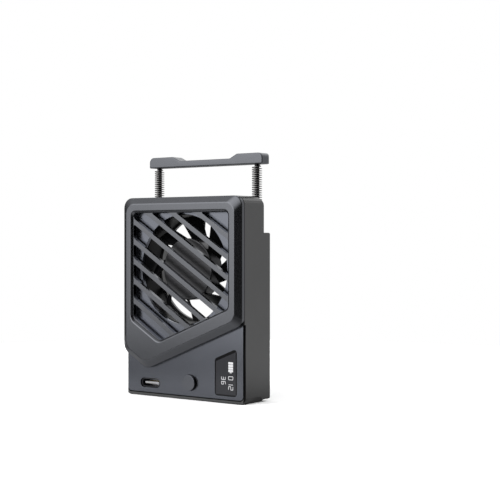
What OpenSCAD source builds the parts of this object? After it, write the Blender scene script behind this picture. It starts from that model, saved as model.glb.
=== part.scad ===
// Camera cooling fan: a slim battery fan with a louvred cover, held in the recess behind a
// camera's fold-out screen by a sprung clamp arm.
// Millimetres, +Z up, front towards -Y. The origin is in the middle of the bottom end.
// Inside the modules y is measured back from the cover's face, and from_face() moves the
// finished piece to the origin.

/* [Body] */
// Width of the body
body_w = 56; // [55:0.5:60]
// Height of the body without the clamp arm
body_h = 74.4; // [73.4:0.2:82]
// Depth from the cover's face to the outside of the back wall
body_d = 14.9; // [14.6:0.1:18]
// Thickness of the side, top and bottom walls
wall = 1.6; // [1.3:0.1:1.9]
// Thickness of the back wall
back_wall = 1.5; // [1.3:0.1:1.9]
// Radius of the two upper corners
top_r = 3.5; // [2.4:0.1:4]
// Radius of the two lower corners
low_r = 2.2; // [1.8:0.1:3]
// Radius of the edge between the top and the back wall
back_edge_r = 3; // [1:0.1:3.2]

/* [Front cover] */
// How far the cover stands proud of the front panel
cover_rise = 3.3; // [3:0.1:3.8]
// Thickness of the cover's skin, collar and outer wall
cover_skin = 1.5; // [1.2:0.1:1.8]
// Width of the bevel round the cover's face
bevel_w = 2.4; // [1.6:0.1:3]
// Depth of that bevel
bevel_d = 1.7; // [1.2:0.1:2.2]
// Drop from the top of the body to the right end of the cover's slanted foot
foot_drop = 46; // [44:0.2:48]
// Drop from the top of the body to the tip of the cover
tip_drop = 64.1; // [62.5:0.1:65]
// Distance of the tip from the left side of the body
tip_inset = 11.4; // [10:0.1:13]
// Slope of the cover's left foot, the louvre bars and the opening's lower left edge
bar_slope = 30.7; // [28:0.1:33]
// Radius of the cover's lower corners
foot_r = 2.4; // [1.5:0.1:3]

/* [Louvres] */
// Rim left and right of the louvred opening
rim_w = 5.5; // [5:0.1:6.5]
// Rim above the opening
rim_top = 5.45; // [4.9:0.05:6.5]
// Rim under the opening, measured across the slanted foot
rim_low = 5.7; // [5:0.1:6.5]
// Vertical pitch of the bars
bar_pitch = 7.37; // [6.5:0.01:8]
// Vertical width of a bar
bar_w = 2.5; // [2:0.1:3.2]
// Depth of the bars' faces behind the cover's face
bar_sink = 0.9; // [0.4:0.1:1.4]
// Drop of the uppermost bar's middle from the top of the body
first_bar_drop = 6.9; // [6:0.1:8]
// Radius of the corners of the slots between the bars
slot_r = 0.9; // [0.4:0.1:1.4]
// Chamfer round the opening
opening_chamfer = 0.8; // [0.4:0.1:1.1]

/* [Front panel] */
// Thickness of the front panel
panel_t = 1.6; // [1.4:0.1:2]
// Lip of the shell beside the panel
side_lip = 0.65; // [0.5:0.05:0.8]
// Lip of the shell under the panel
low_lip = 1.1; // [0.9:0.05:1.3]
// Gap under the panel
low_gap = 0.4; // [0.2:0.05:0.5]
// Bevel on the lip
lip_bevel = 0.4; // [0.2:0.05:0.45]
// Clearance between the panel's sides and the lip
panel_gap = 0.06; // [0.03:0.01:0.1]

/* [Display, button and socket] */
// Width of the display window
window_w = 9.9; // [9:0.1:10.5]
// Distance of the window from the right side of the body
window_inset = 3.5; // [3.2:0.1:4.5]
// Height of the window's lower edge
window_z = 2.7; // [2.5:0.1:3.2]
// Height of the window's longer side
window_h = 17.2; // [15:0.1:18]
// Radius of the window's corners
window_r = 1.2; // [0.6:0.1:1.6]
// Thickness of the window
window_t = 0.8; // [0.5:0.1:1]
// Distance of the button from the middle of the body
button_x = 3.1; // [1:0.1:5]
// Height of the button's middle
button_z = 6.35; // [6:0.05:7]
// Diameter of the button
button_d = 5.7; // [5:0.1:6.4]
// Clearance round the button
button_gap = 0.19; // [0.1:0.01:0.3]
// How far the button stands out
button_rise = 1.2; // [0.8:0.1:1.6]
// Travel of the button
button_travel = 0.4; // [0.3:0.05:0.5]
// Distance of the socket's middle from the left side of the body
socket_inset = 11.76; // [11:0.02:13]
// Height of the socket's middle
socket_z = 4.98; // [4.6:0.02:5.6]
// Width of the socket's slot
slot_w = 9.7; // [9.5:0.05:10]
// Height of the socket's slot
slot_h = 3.53; // [3.4:0.01:3.8]
// Wall of the socket's metal shell
socket_wall = 0.3; // [0.2:0.05:0.35]

/* [Fan] */
// Drop from the top of the body to the fan's axis
fan_drop = 26.6; // [26:0.1:27.5]
// Space between the fan's duct and the sides of the body
duct_side = 6.7; // [6.5:0.1:7.4]
// Wall of the duct
duct_wall = 1.2; // [0.9:0.1:1.4]
// How much wider the inlet hole in the front panel is than the duct, in radius
inlet_step = 0.2; // [0.1:0.05:0.6]
// How much narrower the outlet in the back wall is than the duct, in radius
outlet_step = 0.2; // [0.1:0.05:1]
// Gap between the blade tips and the duct
tip_gap = 0.7; // [0.4:0.1:1.2]
// Radius of the impeller's hub
hub_r = 11.4; // [11.1:0.1:12]
// Depth of the hub
hub_d = 6.4; // [6.2:0.1:7]
// Wall of the hub
hub_wall = 0.9; // [0.7:0.1:1]
// Number of blades
blades = 9; // [7:1:11]
// Depth of the blades along the axis
blade_d = 4.5; // [3.5:0.1:4.8]
// Angle that one blade covers round the axis
blade_arc = 13; // [9:0.5:18]
// Forward lean of the blade tips, in degrees
blade_lean = 7; // [0:0.5:12]
// Thickness of a blade at the hub
blade_t = 0.8; // [0.6:0.05:1]
// Angle of the first blade
blade_angle = 74; // [0:1:90]
// Angle of the first strut
strut_angle = 85; // [80:1:90]
// Radius of the motor's base
base_r = 10; // [9.6:0.1:10.6]
// Thickness of the motor's base and of the struts
base_t = 0.9; // [0.8:0.05:1.1]
// Width of a strut
strut_w = 2.2; // [1.8:0.1:2.8]
// Diameter of the fan's shaft
shaft_d = 1.5; // [1.4:0.05:1.7]

/* [Clamp] */
// Depth of the rails behind the back wall
rail_d = 4.6; // [4.5:0.1:5.4]
// Width of a rail
rail_w = 7.1; // [7:0.1:7.8]
// Drop from the top of the body to the top of the rails
rail_drop = 13.2; // [12:0.1:15]
// Height of the rails' lower ends above the bottom
rail_low = 1; // [0.5:0.1:2]
// Radius of the rails' back corners
rail_r = 1.2; // [0.6:0.1:1.4]
// Distance of the guide rods from the sides of the body
rod_inset = 4.6; // [4.5:0.1:4.8]
// Diameter of the guide rods
rod_d = 1.8; // [1.6:0.1:2]
// Travel of the clamp arm
clamp_travel = 16; // [12:0.5:16]
// Gap between the body and the arm when the arm is out
arm_lift = 11.9; // [11.5:0.1:14]
// Length of the arm
arm_w = 54; // [52:0.5:55]
// Depth of the arm, front to back
arm_d = 5.7; // [5.3:0.1:6.5]
// Thickness of the middle of the arm
arm_t = 2.4; // [2.2:0.1:3]
// Extra thickness of the arm's ends
arm_end_t = 1.65; // [1.2:0.05:2]
// Half length of the arm's thin middle
arm_mid = 12; // [10:0.5:16]
// Radius of the arm's outer corners
arm_r = 2; // [1:0.1:2.4]

/* [Springs] */
// Outer diameter of the springs
spring_od = 3.8; // [3.5:0.1:3.9]
// Diameter of the spring wire
wire_d = 0.36; // [0.3:0.01:0.37]
// Curls of each spring
curls = 40; // [30:1:40]
// Depth of the spring's seat below the top of the rails
seat_depth = 9; // [7:0.1:10]

/* [Battery and board] */
// Width of the battery
cell_w = 36; // [30:0.5:37]
// Thickness of the battery
cell_t = 3; // [2.6:0.1:3]
// Thickness of the foam pad behind the battery
pad_t = 0.4; // [0.3:0.05:0.5]
// Thickness of the main board
board_t = 0.8; // [0.6:0.1:1]

/* [Screws] */
// Diameter of the casing and fan screws
screw_d = 1.6; // [1.4:0.1:1.7]
// Diameter of the screw heads
head_d = 3; // [2.6:0.1:3]
// Height of the screw heads
head_h = 1; // [0.8:0.1:1]

/* [Hidden] */

$fn = 48;
// Overshoot of a cut past the face that it opens
cut = 0.1;
// Clearance of a piece that is seated in another, and of one that turns or slides in it
fit = 0.02;
run = 0.04;
// Gap between the shell and the arm that slides behind it
slide_gap = 0.2;

// Planes measured back from the cover's face
panel_y = cover_rise;
panel_back = panel_y + panel_t;
back_in = body_d - back_wall;
rail_back = body_d + rail_d;
arm_y = body_d + slide_gap;
total_d = arm_y + arm_d;

// Fan
fan_z = body_h - fan_drop;
duct_out = body_w / 2 - duct_side;
duct_r = duct_out - duct_wall;
inlet_r = duct_r + inlet_step;
outlet_r = duct_r - outlet_step;
tip_r = duct_r - tip_gap;
base_back = back_in - 0.4;
base_y = base_back - base_t;
// Step between the base's faces and the struts
strut_step = 0.05;
hub_back = base_y - 0.2;
hub_y = hub_back - hub_d;
hub_in = hub_r - hub_wall;
blade_y = hub_y + 0.9;
lug_r = 2.2;
lug_reach = duct_out + lug_r + 0.1;
lug_y = back_in - 3.4;
lug_t = 1.8;
fan_boss_r = 2;
fan_boss_angles = [45, 135, 225, 315];
tube_r = 2.9;
tube_y = base_y - 4.4;
bearing_r = 2;
bearing_y = base_y - 4.3;
bearing_back = base_y - 0.2;
shaft_r = shaft_d / 2;
yoke_t = 0.5;
yoke_wall = 0.7;
yoke_y = hub_y + hub_wall + fit;
yoke_r = hub_in - run;
magnet_r = yoke_r - yoke_wall - fit;
magnet_in = magnet_r - 1.5;
magnet_y = yoke_y + yoke_t + fit;
magnet_d = 3.9;
stator_r = magnet_in - 0.4;
motor_board_t = 0.6;
motor_board_r = stator_r;
core_d = 2.2;
core_y = base_y - motor_board_t - 3.3;
coil_over = 0.8;
coil_half = 1.7;
shoe_t = 0.8;
fan_screw_len = 5;
hub_boss_r = 1.8;

// Electronics
sensor_r = 1.5;
sensor_z = fan_z - duct_out - sensor_r - 0.3;
board_top = sensor_z - 0.7;
board_low = wall + 0.6;
board_w = body_w - 2 * wall - 3.6;
cell_y = back_in - pad_t - cell_t;
board_y = cell_y - 0.4 - board_t;
cell_z = wall + 1;
cell_fold = 1.6;
cell_h = board_top - 1.4 - cell_z;
module_t = 1.4;
ribbon_w = 6;
ribbon_t = 0.2;
socket_x = -body_w / 2 + socket_inset;
socket_y = panel_y + 0.4;
socket_w = slot_w - 0.7;
socket_h = slot_h - 0.33;
switch_h = 1.4;
switch_w = 4.6;
switch_y = board_y - switch_h;
plunger_r = 0.9;
plunger_out = 0.5;
plunger_len = 0.9;
window_x = body_w / 2 - window_inset;
connector_d = 1.6;
connector_h = 2.6;
connector_z = board_top - 3.8;
lead_w = 1.6;
lead_t = 0.25;
lead_gap = 0.5;
lead_angle = strut_angle + 120;
wire_r = 0.45;

// Screws
screw_r = screw_d / 2;
head_r = head_d / 2;
head_seat = body_d - head_h - 0.1;
screw_len = 7;
boss_r = 2.2;
shell_boss_t = 1.2;
boss_x = body_w / 2 - rod_inset;
lead_x = -boss_x + boss_r + lead_gap + lead_w / 2;
wire_x = lead_x + 7.2;
boss_low_z = board_top + boss_r + 1.6;
boss_top_z = body_h - 4.2;
boss_points = [[-boss_x, boss_low_z], [boss_x, boss_low_z],
               [-boss_x, boss_top_z], [boss_x, boss_top_z]];
post_r = 1.5;
board_screw_r = 0.7;
board_screw_len = 3.4;
board_head_r = 1.4;
board_head_h = 0.8;
post_points = [[-board_w / 2 + 2, board_low + 11.8], [window_x - window_w / 2 + 1, window_z + window_h + 2.2]];

// Clamp
rail_top = body_h - rail_drop;
rod_x = body_w / 2 - rod_inset;
rod_y = body_d + spring_od / 2 + 0.15;
rod_r = rod_d / 2;
spring_bore = spring_od / 2 + 0.2;
seat_z = rail_top - seat_depth;
flange_t = 0.6;
flange_r = spring_od / 2;
bush_len = 2.2;
bush_r = rod_r + 0.7;
web_top = seat_z - flange_t;
web_low = web_top - bush_len;
clip_t = 0.6;
clip_r = rod_r + 0.55;
clip_gap = 0.1;
clip_z = web_low - clip_gap - clip_t;
groove_r = rod_r - 0.3;
rod_low = clip_z - 0.6;
rod_bore = clip_r + 0.3;
bore_low = rod_low - clamp_travel - 1.1;
arm_z = body_h + arm_lift;
rod_top = arm_z + arm_t + 0.2;
spring_r = (spring_od - wire_d) / 2;

// Unit vector, and a polygon's corners rounded by one radius for each corner
function unit(v) = v / norm(v);
function arc_corner(a, b, c, r, n) = let(
    u = unit(a - b), v = unit(c - b), half = acos(u * v) / 2,
    centre = b + unit(u + v) * r / sin(half),
    from = b + u * r / tan(half) - centre, to = b + v * r / tan(half) - centre,
    start = atan2(from.y, from.x),
    turn = (atan2(to.y, to.x) - start + 540) % 360 - 180)
    [for (i = [0:n]) centre + r * [cos(start + turn * i / n), sin(start + turn * i / n)]];
function rounded(p, r, n = 6) = let(k = len(p))
    [for (i = [0:k - 1]) each arc_corner(p[(i + k - 1) % k], p[i], p[(i + 1) % k], r[i], n)];
function box_points(x0, z0, x1, z1) = [[x0, z0], [x1, z0], [x1, z1], [x0, z1]];

// Moves a piece from the cover's face to the part's own origin
module from_face() { translate([0, -total_d / 2, 0]) children(); }
// A flat outline in x and z, made solid from y0 back to y1
module plate(y0, y1) { translate([0, y1, 0]) rotate([90, 0, 0]) linear_extrude(y1 - y0) children(); }
// A flat outline in y and z, made solid from x0 to x1
module side_plate(x0, x1) { translate([x0, 0, 0]) rotate([90, 0, 90]) linear_extrude(x1 - x0) children(); }
// A round bar along y at p = [x, z]
module bar_y(p, r, y0, y1) { translate([p.x, y1, p.y]) rotate([90, 0, 0]) cylinder(r = r, h = y1 - y0); }
// A ring along y about the fan's axis
module fan_ring(r_out, r_in, y0, y1) {
    difference() {
        bar_y([0, fan_z], r_out, y0, y1);
        bar_y([0, fan_z], r_in, y0 - cut, y1 + cut);
    }
}
// A profile of [radius, y] points turned about the fan's axis
module fan_turned() { translate([0, 0, fan_z]) rotate([-90, 0, 0]) rotate_extrude() children(); }
// Children turned about the fan's axis by an angle that grows from +X towards +Z
module fan_at(a) { translate([0, 0, fan_z]) rotate([0, -a, 0]) children(); }
// A slot shape with round ends
module stadium(w, h) {
    square([w - h, h], center = true);
    for (s = [-1, 1]) translate([s * (w - h) / 2, 0]) circle(r = h / 2);
}
// A screw with a cross recess, its head's seat at y, pointing to the front
module screw(p, y, r, hr, hh, len) {
    slot = hr * 0.34;
    difference() {
        union() {
            bar_y(p, hr, y, y + hh);
            bar_y(p, r, y - len, y + cut);
        }
        for (a = [0, 90])
            translate([p.x, y + hh, p.y]) rotate([0, a, 0]) cube([hr * 1.3, hh, slot], center = true);
    }
}

// Outlines in x and z
module body_outline(inset) {
    x = body_w / 2 - inset;
    polygon(rounded(box_points(-x, inset, x, body_h - inset),
        [max(low_r - inset, 0.4), max(low_r - inset, 0.4), max(top_r - inset, 0.4), max(top_r - inset, 0.4)]));
}
module panel_outline(gap) {
    x = body_w / 2 - side_lip - gap;
    polygon(rounded(box_points(-x, low_lip + (gap > 0 ? low_gap : 0), x, body_h - side_lip - gap),
        [low_r - side_lip, low_r - side_lip, top_r - side_lip, top_r - side_lip]));
}
tip = [-body_w / 2 + tip_inset, body_h - tip_drop];
module cover_outline() {
    x = body_w / 2;
    polygon(rounded([[-x, body_h], [-x, tip.y + tip_inset * tan(bar_slope)], tip,
        [x, body_h - foot_drop], [x, body_h]], [top_r, foot_r, foot_r, foot_r, top_r]));
}
foot_slope = atan2(tip_drop - foot_drop, body_w - tip_inset);
opening_x = body_w / 2 - rim_w;
opening_top = body_h - rim_top;
opening_low = body_h - first_bar_drop + bar_w / 2 - 8 * bar_pitch;
// The two lower edges of the opening: the right one runs along the foot, the left one
// continues the row of bars
function right_edge(x) = body_h - foot_drop - (body_w / 2 - x) * tan(foot_slope) + rim_low / cos(foot_slope);
function left_edge(x) = opening_low - x * tan(bar_slope);
tip_x = (opening_low - right_edge(0)) / (tan(bar_slope) + tan(foot_slope));
module opening_outline() {
    polygon(rounded([[-opening_x, opening_top], [-opening_x, left_edge(-opening_x)],
        [tip_x, left_edge(tip_x)], [opening_x, right_edge(opening_x)], [opening_x, opening_top]],
        [1.5, 1.5, 1.5, 1.5, 1.5]));
}
module bars() {
    reach = body_w;
    for (i = [0:7]) translate([0, body_h - first_bar_drop - i * bar_pitch])
        polygon([[-reach, -bar_w / 2 + reach * tan(bar_slope)], [reach, -bar_w / 2 - reach * tan(bar_slope)],
                 [reach, bar_w / 2 - reach * tan(bar_slope)], [-reach, bar_w / 2 + reach * tan(bar_slope)]]);
}
module window_outline(inset) {
    x0 = window_x - window_w + inset;
    x1 = window_x - inset;
    top = window_z + window_h - inset;
    r = window_r - inset / 2;
    polygon(rounded([[x0, window_z + inset], [x1, window_z + inset], [x1, top],
        [x0, top - (x1 - x0) * tan(foot_slope)]], [r, r, r, r]));
}

// Casing
module front_cover() {
    color("dimgray") from_face() {
        difference() {
            hull() {
                plate(0, 0.01) offset(delta = -bevel_w) cover_outline();
                plate(bevel_d, panel_y) cover_outline();
            }
            plate(cover_skin, panel_y + cut) difference() {
                offset(delta = -cover_skin) cover_outline();
                offset(delta = cover_skin) opening_outline();
            }
            plate(-cut, panel_y + cut) opening_outline();
            hull() {
                plate(-cut, 0) offset(delta = opening_chamfer) opening_outline();
                plate(0, opening_chamfer) opening_outline();
            }
        }
        plate(bar_sink, panel_y) difference() {
            offset(delta = 0.2) opening_outline();
            offset(r = slot_r) offset(delta = -slot_r) difference() {
                opening_outline();
                bars();
            }
        }
    }
}
module front_panel() {
    color("dimgray") from_face() difference() {
        union() {
            plate(panel_y, panel_back) panel_outline(panel_gap);
            for (p = boss_points) bar_y(p, boss_r, panel_back - cut, back_in - shell_boss_t);
            for (a = fan_boss_angles) fan_at(a)
                bar_y([lug_reach, 0], fan_boss_r, panel_back - cut, lug_y);
            for (p = post_points) bar_y(p, post_r, panel_back - cut, board_y);
        }
        bar_y([0, fan_z], inlet_r, panel_y - cut, panel_back + cut);
        bar_y([button_x, button_z], button_d / 2 + button_gap, panel_y - cut, panel_back + cut);
        plate(panel_y - cut, panel_back + cut) translate([socket_x, socket_z]) stadium(slot_w, slot_h);
        plate(panel_y - cut, panel_y + window_t + fit) window_outline(-0.05);
        plate(panel_y, panel_back + cut) window_outline(0.8);
        for (p = boss_points) bar_y(p, screw_r + fit, head_seat - screw_len - 0.5, back_in);
        for (a = fan_boss_angles) fan_at(a)
            bar_y([lug_reach, 0], screw_r + fit, lug_y + lug_t - fan_screw_len - 0.8, lug_y + cut);
        for (p = post_points) bar_y(p, board_screw_r + fit, panel_back + 0.4, board_y + cut);
    }
}
module rail(s) {
    x0 = body_w / 2 - rail_w;
    mirror([s < 0 ? 1 : 0, 0, 0]) intersection() {
        translate([0, 0, rail_low]) linear_extrude(rail_top - rail_low)
            polygon(rounded([[x0, back_in], [body_w / 2, back_in], [body_w / 2, rail_back], [x0, rail_back]],
                [0.01, 0.01, rail_r, rail_r / 2]));
        side_plate(x0 - cut, body_w / 2 + cut)
            polygon(rounded([[back_in, rail_low], [rail_back, rail_low], [rail_back, rail_top], [back_in, rail_top]],
                [0.01, 1.8, 1.8, 0.01]));
    }
}
module rear_shell() {
    color([0.33, 0.33, 0.34]) from_face() difference() {
        union() {
            intersection() {
                difference() {
                    plate(panel_y, body_d) body_outline(0);
                    difference() {
                        plate(panel_back, back_in) body_outline(wall);
                        for (p = boss_points) bar_y(p, boss_r, back_in - shell_boss_t, back_in + cut);
                    }
                }
                side_plate(-body_w, body_w) polygon(rounded([[0, -1], [body_d, -1], [body_d, body_h],
                    [0, body_h]], [0.01, 0.01, back_edge_r, 0.01]));
            }
            for (s = [-1, 1]) rail(s);
        }
        plate(panel_y - cut, panel_back + fit) panel_outline(0);
        lip_cut();
        bar_y([0, fan_z], outlet_r, back_in - cut, body_d + cut);
        bar_y([0, sensor_z], sensor_r + 0.1, back_in - cut, body_d + cut);
        for (p = boss_points) {
            bar_y(p, screw_r + 0.15, back_in - shell_boss_t - cut, body_d);
            bar_y(p, head_r + 0.2, head_seat, rail_back + cut);
        }
        for (s = [-1, 1]) translate([s * rod_x, rod_y, 0]) {
            translate([0, 0, web_top]) cylinder(r = spring_bore, h = seat_depth + flange_t + cut);
            translate([0, 0, web_low - cut]) cylinder(r = bush_r + fit, h = bush_len + 2 * cut);
            translate([0, 0, bore_low]) cylinder(r = rod_bore, h = web_low - bore_low);
            translate([-rod_bore, back_in - cut - rod_y, bore_low])
                cube([2 * rod_bore, rod_y - back_in + cut, web_low - bore_low]);
        }
    }
}
// The bevel on the shell's lip, below the cover's foot
module lip_cut() {
    x = body_w / 2;
    for (s = [-1, 1]) {
        top = s > 0 ? body_h - foot_drop : tip.y + tip_inset * tan(bar_slope);
        translate([s * x, panel_y, -cut]) rotate([0, 0, 45])
            translate([-lip_bevel / sqrt(2), -lip_bevel / sqrt(2), 0])
            cube([lip_bevel * sqrt(2), lip_bevel * sqrt(2), top]);
    }
    translate([-x - 1, panel_y, 0]) rotate([45, 0, 0])
        translate([0, -lip_bevel / sqrt(2), -lip_bevel / sqrt(2)])
        cube([body_w + 2, lip_bevel * sqrt(2), lip_bevel * sqrt(2)]);
}
module shell_screws() {
    color("dimgray") from_face() for (p = boss_points) screw(p, head_seat, screw_r, head_r, head_h, screw_len);
}

// Display and controls
module display_window() {
    color([0.12, 0.12, 0.14]) from_face() plate(panel_y + fit, panel_y + window_t) window_outline(0);
}
module display_module() {
    color("black") from_face() plate(panel_back, panel_back + module_t)
        polygon(box_points(window_x - window_w - 0.5, window_z - 0.3, window_x + 0.7,
            window_z + window_h - window_w * tan(foot_slope) - 0.4));
}
module display_ribbon() {
    x0 = window_x - window_w / 2 - ribbon_w / 2;
    y0 = panel_back + module_t;
    z0 = window_z + 6;
    z1 = window_z + 11.5;
    steps = 8;
    function bow(t, o) = [y0 + (board_y - y0 - ribbon_t) * (3 * t * t - 2 * t * t * t) + o, z0 + (z1 - z0) * t];
    color("darkorange") from_face() side_plate(x0, x0 + ribbon_w) polygon(concat(
        [[y0, z0 - 2]], [for (i = [0:steps]) bow(i / steps, 0)],
        [[board_y - ribbon_t, z1 + 2], [board_y, z1 + 2]],
        [for (i = [steps:-1:0]) bow(i / steps, ribbon_t)], [[y0 + ribbon_t, z0 - 2]]));
}
module button_cap() {
    r = button_d / 2;
    front = panel_y - button_rise;
    flange = panel_back + 0.05;
    color([0.3, 0.3, 0.31]) from_face() translate([button_x, 0, button_z]) rotate([-90, 0, 0])
        rotate_extrude() polygon(concat([[0, front + 0.12], [r - 0.9, front + 0.08]],
            [for (i = [0:4]) [r - 0.5 + 0.5 * sin(i * 22.5), front + 0.5 - 0.5 * cos(i * 22.5)]],
            [[r, flange], [r + 0.9, flange], [r + 0.9, flange + 0.7], [1, flange + 0.7],
             [1, switch_y - plunger_out], [0, switch_y - plunger_out]]));
}
module switch_plunger() {
    color("black") from_face() bar_y([button_x, button_z], plunger_r,
        switch_y - plunger_out, switch_y - plunger_out + plunger_len);
}
module tact_switch() {
    w = switch_w / 2;
    color("silver") from_face() difference() {
        plate(switch_y, board_y) polygon(rounded(
            box_points(button_x - w, button_z - w, button_x + w, button_z + w), [0.4, 0.4, 0.4, 0.4]));
        bar_y([button_x, button_z], plunger_r + run, switch_y - cut,
            switch_y - plunger_out + plunger_len + button_travel + 0.1);
    }
}
module usb_shell() {
    color("silver") from_face() plate(socket_y, board_y) translate([socket_x, socket_z]) difference() {
        stadium(socket_w, socket_h);
        stadium(socket_w - 2 * socket_wall, socket_h - 2 * socket_wall);
    }
}
module usb_tongue() {
    inner_h = socket_h - 2 * socket_wall - 2 * fit;
    color([0.15, 0.15, 0.16]) from_face() {
        plate(board_y - 1.2, board_y) translate([socket_x, socket_z])
            stadium(socket_w - 2 * socket_wall - 2 * fit, inner_h);
        plate(socket_y + 0.7, board_y - 1) translate([socket_x, socket_z]) square([6.7, 0.7], center = true);
    }
}

// Electronics
module main_board() {
    x = board_w / 2;
    color("darkgreen") from_face() difference() {
        plate(board_y, board_y + board_t)
            polygon(rounded(box_points(-x, board_low, x, board_top), [1.5, 1.5, 1.5, 1.5]));
        for (p = post_points) bar_y(p, board_screw_r + 0.15, board_y - cut, board_y + board_t + cut);
    }
}
// Parts on the board's front: middle x, middle height above the board's lower edge, width, height, depth
chips = [[-8, 13.5, 4, 4, 0.8], [4, 14.5, 5, 5, 0.9], [-2, 19, 3, 2, 0.7], [10, 18.5, 3.6, 3.6, 1.4]];
module board_chips() {
    color([0.1, 0.1, 0.1]) from_face() for (c = chips) plate(board_y - c[4], board_y)
        polygon(box_points(c[0] - c[2] / 2, board_low + c[1] - c[3] / 2,
            c[0] + c[2] / 2, board_low + c[1] + c[3] / 2));
}
connectors = [[lead_x, 4], [wire_x, 4.6]];
module board_connectors() {
    color("ivory") from_face() for (c = connectors) plate(board_y - connector_d, board_y)
        polygon(box_points(c[0] - c[1] / 2, connector_z, c[0] + c[1] / 2, connector_z + connector_h));
}
module board_screws() {
    color("silver") from_face() for (p = post_points)
        screw(p, board_y + board_t, board_screw_r, board_head_r, board_head_h, board_screw_len);
}
module temperature_sensor() {
    color("silver") from_face() {
        bar_y([0, sensor_z], sensor_r, back_in - 1, body_d - 0.2);
        for (s = [-1, 1]) bar_y([0.6 * s, sensor_z - 1], 0.2, board_y + board_t, back_in - 0.9);
    }
}
module battery_cell() {
    x = cell_w / 2;
    color([0.2, 0.35, 0.6]) from_face() {
        translate([0, 0, cell_z]) linear_extrude(cell_h - cell_fold)
            polygon(rounded([[-x, cell_y], [x, cell_y], [x, cell_y + cell_t], [-x, cell_y + cell_t]],
                [1.2, 1.2, 1.2, 1.2]));
        translate([-x + 1.5, cell_y + 0.8, cell_z + cell_h - cell_fold - cut])
            cube([cell_w - 3, cell_t - 1.6, cell_fold + cut]);
    }
}
module battery_pad() {
    x = cell_w / 2 - 1.5;
    color("gray") from_face() plate(back_in - pad_t, back_in)
        polygon(rounded(box_points(-x, cell_z + 1, x, cell_z + cell_h - cell_fold - 1), [1, 1, 1, 1]));
}
// Two wires from the battery over the board's edge to its connector
module battery_leads() {
    front = board_y - connector_d / 2;
    back = cell_y + cell_t / 2;
    bend = (back - front) / 2;
    rise = board_top + 0.5;
    for (i = [0, 1]) color(i == 0 ? "red" : "black") from_face() translate([wire_x - 0.7 + 1.4 * i, 0, 0]) {
        translate([0, back, cell_z + cell_h]) cylinder(r = wire_r, h = rise - cell_z - cell_h);
        translate([0, front, connector_z + connector_h])
            cylinder(r = wire_r, h = rise - connector_z - connector_h);
        translate([0, front + bend, rise]) rotate([90, 0, 90])
            rotate_extrude(angle = 180) translate([bend, 0]) circle(r = wire_r);
    }
}
// A flat lead from the motor board along a strut, down beside the duct to its connector
module fan_lead() {
    y1 = base_y + lead_t;
    reach = duct_out + lead_w / 2 + 0.3;
    elbow = [reach * cos(lead_angle), fan_z + reach * sin(lead_angle)];
    z0 = board_top + 0.9;
    z1 = boss_low_z + boss_r;
    y2 = board_y - connector_d / 2;
    steps = 10;
    function sway(t, o) = [y2 + (base_y - y2) * (3 * t * t - 2 * t * t * t) + o, z0 + (z1 - z0) * t];
    color("black") from_face() {
        plate(base_y, y1) {
            translate([0, fan_z]) rotate(lead_angle) translate([motor_board_r - 0.8, -lead_w / 2])
                square([reach - motor_board_r + 0.8, lead_w]);
            translate(elbow) circle(r = lead_w / 2);
            polygon([elbow - [lead_w / 2, 0], elbow + [lead_w / 2, 0],
                [lead_x + lead_w / 2, z1], [lead_x - lead_w / 2, z1]]);
        }
        side_plate(lead_x - lead_w / 2, lead_x + lead_w / 2) polygon(concat(
            [[y2, connector_z + connector_h]], [for (i = [0:steps]) sway(i / steps, 0)],
            [[base_y, z1 + 0.5], [y1, z1 + 0.5]], [for (i = [steps:-1:0]) sway(i / steps, lead_t)],
            [[y2 + lead_t, connector_z + connector_h]]));
    }
}

// Fan
module fan_frame() {
    color([0.09, 0.09, 0.1]) from_face() difference() {
        union() {
            fan_ring(duct_out, duct_r, panel_back, back_in);
            for (a = fan_boss_angles) fan_at(a) {
                bar_y([lug_reach, 0], lug_r, lug_y, lug_y + lug_t);
                translate([duct_r + 0.5, lug_y, -lug_r + 0.3])
                    cube([lug_reach - duct_r - 0.5, lug_t, 2 * lug_r - 0.6]);
            }
            bar_y([0, fan_z], base_r, base_y, base_back);
            for (i = [0:2]) fan_at(strut_angle + 120 * i)
                translate([base_r - 1, base_y + strut_step, -strut_w / 2])
                    cube([duct_r - base_r + 1.6, base_t - 2 * strut_step, strut_w]);
            bar_y([0, fan_z], tube_r, tube_y, base_y + cut);
        }
        bar_y([0, fan_z], bearing_r + fit, tube_y - cut, base_back - 0.3);
        for (a = fan_boss_angles) fan_at(a)
            bar_y([lug_reach, 0], screw_r + 0.15, lug_y - cut, lug_y + lug_t + cut);
        fan_at(lead_angle) translate([motor_board_r - 1.3, base_y - cut, -lead_w / 2 - 0.1])
            cube([duct_out, lead_t + cut + fit, lead_w + 0.2]);
    }
}
module fan_screws() {
    color("silver") from_face() for (a = fan_boss_angles)
        screw([lug_reach * cos(a), fan_z + lug_reach * sin(a)], lug_y + lug_t, screw_r, head_r, head_h, fan_screw_len);
}
module motor_board() {
    color("darkgreen") from_face() fan_ring(motor_board_r, tube_r + 0.1, base_y - motor_board_t, base_y);
}
module stator_core() {
    color("gray") from_face() {
        fan_ring(4.2, tube_r + run, core_y, core_y + core_d);
        for (i = [0:3]) fan_at(45 + 90 * i) {
            translate([4, core_y, -0.8]) cube([stator_r - 4.4, core_d, 1.6]);
            intersection() {
                difference() {
                    translate([0, core_y, 0]) rotate([-90, 0, 0]) cylinder(r = stator_r, h = core_d);
                    translate([0, core_y - cut, 0]) rotate([-90, 0, 0])
                        cylinder(r = stator_r - shoe_t, h = core_d + 2 * cut);
                }
                plate(core_y, core_y + core_d) polygon([[0, 0], [stator_r, -stator_r * 0.62],
                    [2 * stator_r, 0], [stator_r, stator_r * 0.62]]);
            }
        }
    }
}
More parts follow.
